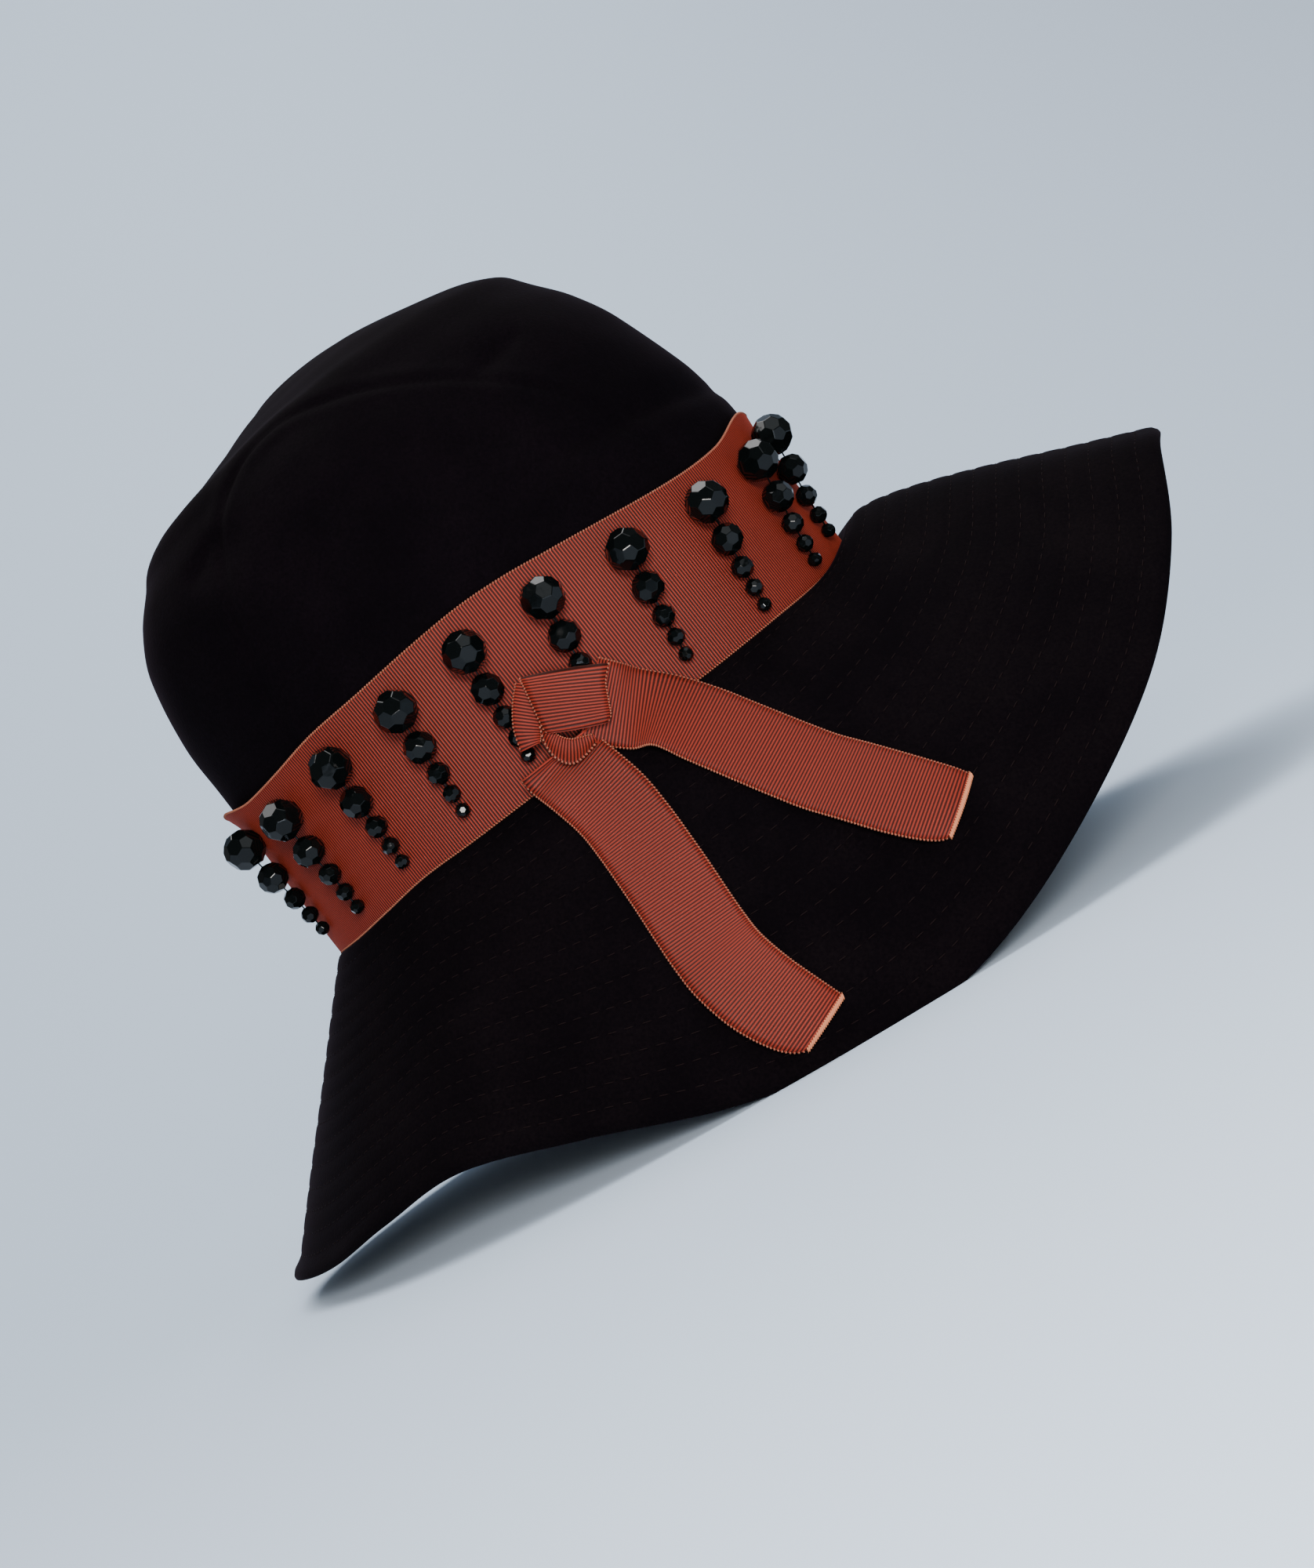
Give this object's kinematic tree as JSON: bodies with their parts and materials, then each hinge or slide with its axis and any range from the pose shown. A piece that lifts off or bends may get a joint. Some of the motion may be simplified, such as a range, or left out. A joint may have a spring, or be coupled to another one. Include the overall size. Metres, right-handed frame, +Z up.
{
  "type": "wide-brimmed soft velvet hat",
  "caption": "Soft black velvet hat with a high crown, a wide drooping stitched brim, and a rust ribbon band set with columns of faceted black beads and a small knot.",
  "frame": {"origin": "on the surface that the hat rests on, below the middle of its outline", "axes": "+X towards the brow, which is tipped up by 8 degrees, +Z up; the knot is on the wearer's right, at -Y"},
  "size_m": [0.3754, 0.2624, 0.2599],
  "materials": {
    "velvet": "black cotton velvet with a faint sheen",
    "grosgrain": "rust-brown ribbed ribbon",
    "bead_glass": "opaque black, faceted and glossy"
  },
  "bodies": {
    "root": {"crown_middle": "velvet", "crown_side_right": "velvet", "crown_side_left": "velvet", "brim": "velvet", "hatband": "grosgrain", "knot_wrap": "grosgrain", "knot_fold": "grosgrain", "knot_loop": "grosgrain", "tail_upper": "grosgrain", "tail_lower": "grosgrain", "bead_column_right_01": "bead_glass", "bead_column_right_02": "bead_glass", "bead_column_right_03": "bead_glass", "bead_column_right_04": "bead_glass", "bead_column_right_05": "bead_glass", "bead_column_right_06": "bead_glass", "bead_column_right_07": "bead_glass", "bead_column_right_08": "bead_glass", "bead_column_right_09": "bead_glass", "bead_column_right_10": "bead_glass", "bead_column_left_01": "bead_glass", "bead_column_left_02": "bead_glass", "bead_column_left_03": "bead_glass", "bead_column_left_04": "bead_glass", "bead_column_left_05": "bead_glass", "bead_column_left_06": "bead_glass", "bead_column_left_07": "bead_glass", "bead_column_left_08": "bead_glass", "bead_column_left_09": "bead_glass", "bead_column_left_10": "bead_glass"}
  },
  "joints": []
}
